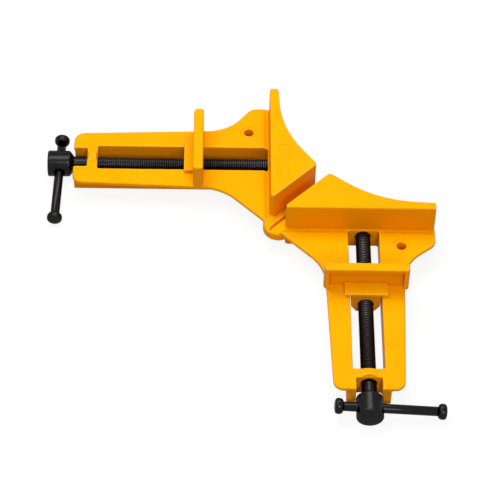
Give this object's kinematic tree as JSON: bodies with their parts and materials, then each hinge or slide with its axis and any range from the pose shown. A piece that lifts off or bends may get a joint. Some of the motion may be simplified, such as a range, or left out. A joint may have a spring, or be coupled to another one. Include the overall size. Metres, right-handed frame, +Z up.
{
  "type": "corner clamp",
  "caption": "Cast right-angle corner clamp: a jaw on each arm, driven by a captive lead screw with a sliding tommy bar, presses a moulding against a fence beside a mitre saw kerf.",
  "frame": {"origin": "on the base plane, in the mitre plane, at the centre of the round foot under the outer corner", "axes": "+Z up from the bench; the right-hand fence runs along +X with its arm to -Y, the left-hand fence along +Y with its arm to -X"},
  "size_m": [0.2644, 0.2632, 0.0376],
  "materials": {
    "yellow_casting": "orange-yellow enamel on a smooth die casting, satin to half gloss",
    "black_screw": "black oxide on turned and rolled steel, slightly oily",
    "black_bar": "black oxide on drawn steel bar, half gloss",
    "spring_steel": "bright ground steel pin"
  },
  "bodies": {
    "frame": {"clamp_body": "yellow_casting", "left_retaining_pin": "spring_steel", "right_retaining_pin": "spring_steel"},
    "left_screw": {"left_lead_screw": "black_screw"},
    "left_jaw": {"left_jaw": "yellow_casting"},
    "left_bar": {"left_tommy_bar": "black_bar", "left_short_cap": "black_bar", "left_long_cap": "black_bar"},
    "right_screw": {"right_lead_screw": "black_screw"},
    "right_jaw": {"right_jaw": "yellow_casting"},
    "right_bar": {"right_tommy_bar": "black_bar", "right_short_cap": "black_bar", "right_long_cap": "black_bar"}
  },
  "joints": [
    {"name": "left_screw_turn", "type": "hinge", "parent": "frame", "child": "left_screw", "pos_m": [-0.1436, 0.0536, 0.0094], "axis": [1, 0, 0], "range_deg": [-10800, 13680]},
    {"name": "left_jaw_slide", "type": "slide", "parent": "frame", "child": "left_jaw", "axis": [-1, 0, 0], "range_m": [-0.0451, 0.0571]},
    {"name": "left_bar_slide", "type": "slide", "parent": "left_screw", "child": "left_bar", "axis": [-0.0332, -0.9962, -0.0802], "range_m": [-0.0344, 0.0076]},
    {"name": "right_screw_turn", "type": "hinge", "parent": "frame", "child": "right_screw", "pos_m": [0.0536, -0.1436, 0.0094], "axis": [0, 1, 0], "range_deg": [-11160, 13320]},
    {"name": "right_jaw_slide", "type": "slide", "parent": "frame", "child": "right_jaw", "axis": [0, -1, 0], "range_m": [-0.0466, 0.0556]},
    {"name": "right_bar_slide", "type": "slide", "parent": "right_screw", "child": "right_bar", "axis": [0.9973, 0, -0.0732], "range_m": [-0.0344, 0.0076]}
  ],
  "couplings": [
    {"joint": "left_jaw_slide", "follows": "left_screw_turn", "m_per_rad": 0.00023873},
    {"joint": "right_jaw_slide", "follows": "right_screw_turn", "m_per_rad": 0.00023873}
  ]
}
